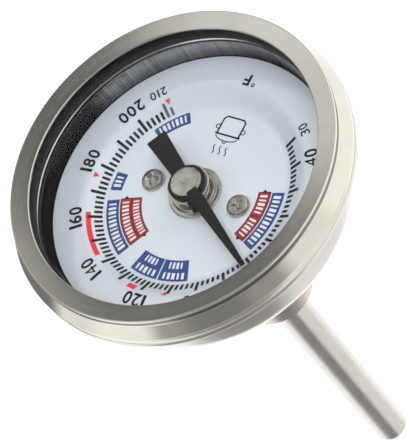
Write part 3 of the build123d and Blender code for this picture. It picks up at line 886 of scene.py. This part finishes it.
# A plain upright stock-pot with a lid, two handles and three lines of steam
POT_HALF, POT_TOP, POT_BOTTOM, POT_CORNER = 3.0, -15.8, -20.5, 0.7
FINE, STRONG = 0.24, 0.42
side = POT_HALF - POT_CORNER
black.line([
    (-POT_HALF, POT_TOP),
    (-POT_HALF, POT_BOTTOM + POT_CORNER),
    (-side, POT_BOTTOM),
    (side, POT_BOTTOM),
    (POT_HALF, POT_BOTTOM + POT_CORNER),
    (POT_HALF, POT_TOP),
], STRONG)
black.line([(-POT_HALF - 0.5, POT_TOP), (POT_HALF + 0.5, POT_TOP)], STRONG)
black.line(arc(0, POT_TOP + 0.4, POT_HALF, 1.1, 180, 0), FINE)
black.line(arc(0, POT_TOP + 1.75, 0.45, 0.35, 200, -20), FINE)
for way in (-1, 1):
    black.line(arc(way * POT_HALF, POT_TOP - 1.7, 1.1, 0.6, 90, 90 - way * 180), FINE)
for aside in (-1.7, 0.0, 1.7):
    rise = [(aside + 0.3 * math.sin(k * math.pi / 4), POT_TOP + 2.9 + k * 0.28) for k in range(9)]
    black.line(rise, FINE)

for sheet in (black, faded, red, crimson, blue, white, outline_ink):
    sheet.finish()


# ---------------------------------------------------------------- pointer and inner pieces

def make_cap():
    """Pointer cap with a rounded rim and a small pressed mark at its centre."""
    low, high = low_z("pointer_cap"), high_z("pointer_cap")
    outline = [
        (0, low, 0),
        (3.83, low, 0.05),
        (3.83, high, 0.28),
        (0.75, high, 0.05),
        (0.6, high - 0.16, 0.05),
        (0.32, high - 0.16, 0.05),
        (0.2, high - 0.03, 0.05),
        (0, high - 0.03, 0),
    ]
    piece("cap", turned("cap", outline, 120), TURNING, "nickel", NICKEL, "pointer_cap")


make_cap()
for node, material in (
    ("pointer", BLACK_PAINT),
    ("pointer_hub", NICKEL),
    ("pointer_shaft", TURNED),
    ("coil_collet", BRASS),
    ("case_seal_washer", RUBBER),
    ("boss_locknut", TURNED),
    ("dial_bracket", CASE),
    ("upper_bearing", BRASS),
    ("lower_guide", BRASS),
    ("coil_anchor", TURNED),
    ("bimetal_coil", BIMETAL),
):
    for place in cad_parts[node].material_slots:
        place.material = material


# ---------------------------------------------------------------- camera, light and floor

def aim(item, place, target, roll=0.0):
    """Puts an object at a place and turns its -Z axis to a target, both in millimetres."""
    way = Vector(target) - Vector(place)
    item.location = Vector(place) * MM
    item.rotation_mode = "QUATERNION"
    item.rotation_quaternion = way.to_track_quat("-Z", "Y") @ Quaternion((0, 0, 1), math.radians(roll))


def around(target, azimuth, elevation, distance):
    """A place seen from a target: azimuth from +X towards +Y, elevation above the horizon."""
    a, e = math.radians(azimuth), math.radians(elevation)
    way = Vector((math.cos(a) * math.cos(e), math.sin(a) * math.cos(e), math.sin(e)))
    return Vector(target) + way * distance


LOOK_AT = (-6.96, 6.09, 28.5)
CAMERA_AZIMUTH, CAMERA_ELEVATION, CAMERA_DISTANCE = 153.63, 51.94, 564.03
CAMERA_ROLL, CAMERA_LENS = -40.39, 200.9
camera = bpy.data.objects.new("camera", bpy.data.cameras.new("camera"))
camera.data.sensor_width = 36.0
camera.data.lens = CAMERA_LENS
camera.data.clip_end = 10.0
bpy.context.scene.collection.objects.link(camera)
viewpoint = around(LOOK_AT, CAMERA_AZIMUTH, CAMERA_ELEVATION, CAMERA_DISTANCE)
aim(camera, viewpoint, LOOK_AT, roll=CAMERA_ROLL)
bpy.context.scene.camera = camera


def softbox(name, azimuth, elevation, distance, size, power, tint=(1, 1, 1)):
    """A square soft light that faces the dial; what the metal mirrors comes from the studio instead."""
    lamp = bpy.data.lights.new(name, "AREA")
    lamp.shape = "SQUARE"
    lamp.size = size * MM
    lamp.energy = power
    lamp.color = tint
    item = bpy.data.objects.new(name, lamp)
    item.visible_glossy = False
    bpy.context.scene.collection.objects.link(item)
    centre = (0, 0, 20)
    aim(item, around(centre, azimuth, elevation, distance), centre)


softbox("key", 45, 50, 900, 500, 3.0, (1.0, 0.98, 0.95))
softbox("side", 250, 45, 900, 700, 5.0, (1.0, 0.98, 0.96))
softbox("top", 180, 75, 900, 700, 9.0)

floor_paint = coated("floor_paint", grey(0.86), grey(0.9), 0.7, 0.01, 0.01)
floor_mesh = bpy.data.meshes.new("floor")
half = 4.0
level = (STEM_TIP - 60) * MM
floor_corners = [(-half, -half, level), (half, -half, level), (half, half, level), (-half, half, level)]
floor_mesh.from_pydata(floor_corners, [], [(0, 1, 2, 3)])
floor = bpy.data.objects.new("floor", floor_mesh)
floor.data.materials.append(floor_paint)
floor.visible_glossy = False
bpy.context.scene.collection.objects.link(floor)

# What polished parts mirror: soft patches of a pale studio, each at an azimuth and elevation, as
# bright as given within the inner angle and fading out to the outer angle.
STUDIO_LOW, STUDIO_HIGH = 1.5, 0.45
STUDIO = [
    ("wall", -125, 20, 35, 65, 1.45),
    ("key", -15, 52, 9, 15, 1.0),
    ("key_foot", -18, 43, 4, 8, 0.85),
    ("lamp", -39, 48, 5, 11, 0.14),
    ("gap", -28, 38, 3, 6.5, 0.15),
    ("roof", -36, 60, 5, 10, 0.13),
    ("door", 16, -26, 14, 24, 0.25),
    ("card", 77, 34, 10, 26, 1.6),
    ("desk", 124, -48, 12, 38, 0.42),
    ("shelf", 70, -4, 10, 24, 1.4),
    ("screen", -178, 8, 8, 24, 1.2),
    ("back", 127, 45, 15, 32, 0.36),
    ("gate", 122, 8, 8, 24, 0.3),
    ("mat", -165, -55, 12, 30, 1.2),
    ("pane", -27, 51, 3, 8, 1.2),
]


def studio_world():
    """Plain light for matt surfaces, and the soft patches for the rays that metal and glass mirror."""
    world = bpy.data.worlds.new("studio")
    world.use_nodes = True
    tree = world.node_tree
    plain = tree.nodes["Background"]
    plain.inputs["Color"].default_value = (0.95, 0.97, 1.0, 1)
    plain.inputs["Strength"].default_value = 0.5
    way = tree.nodes.new("ShaderNodeTexCoord").outputs["Generated"]

    def facing(azimuth, elevation):
        made = tree.nodes.new("ShaderNodeVectorMath")
        made.operation = "DOT_PRODUCT"
        tree.links.new(way, made.inputs[0])
        made.inputs[1].default_value = around((0, 0, 0), azimuth, elevation, 1.0)
        return made.outputs["Value"]

    def ramp(value, low, high, at_low, at_high):
        made = tree.nodes.new("ShaderNodeMapRange")
        made.interpolation_type = "SMOOTHSTEP"
        tree.links.new(value, made.inputs["Value"])
        for key, number in (("From Min", low), ("From Max", high)):
            made.inputs[key].default_value = number
        for key, number in (("To Min", at_low), ("To Max", at_high)):
            if isinstance(number, bpy.types.NodeSocket):
                tree.links.new(number, made.inputs[key])
            else:
                made.inputs[key].default_value = number
        return made.outputs["Result"]

    level = ramp(facing(0, 90), -0.4, 0.1, STUDIO_LOW, STUDIO_HIGH)
    for name, azimuth, elevation, inner, outer, bright in STUDIO:
        edge, core = math.cos(math.radians(outer)), math.cos(math.radians(inner))
        level = ramp(facing(azimuth, elevation), edge, core, level, bright)
    mirrored = tree.nodes.new("ShaderNodeBackground")
    mirrored.inputs["Color"].default_value = (1.0, 0.985, 0.95, 1)
    tree.links.new(level, mirrored.inputs["Strength"])
    both = tree.nodes.new("ShaderNodeMixShader")
    tree.links.new(tree.nodes.new("ShaderNodeLightPath").outputs["Is Glossy Ray"], both.inputs[0])
    tree.links.new(plain.outputs[0], both.inputs[1])
    tree.links.new(mirrored.outputs[0], both.inputs[2])
    tree.links.new(both.outputs[0], tree.nodes["World Output"].inputs["Surface"])
    bpy.context.scene.world = world


studio_world()
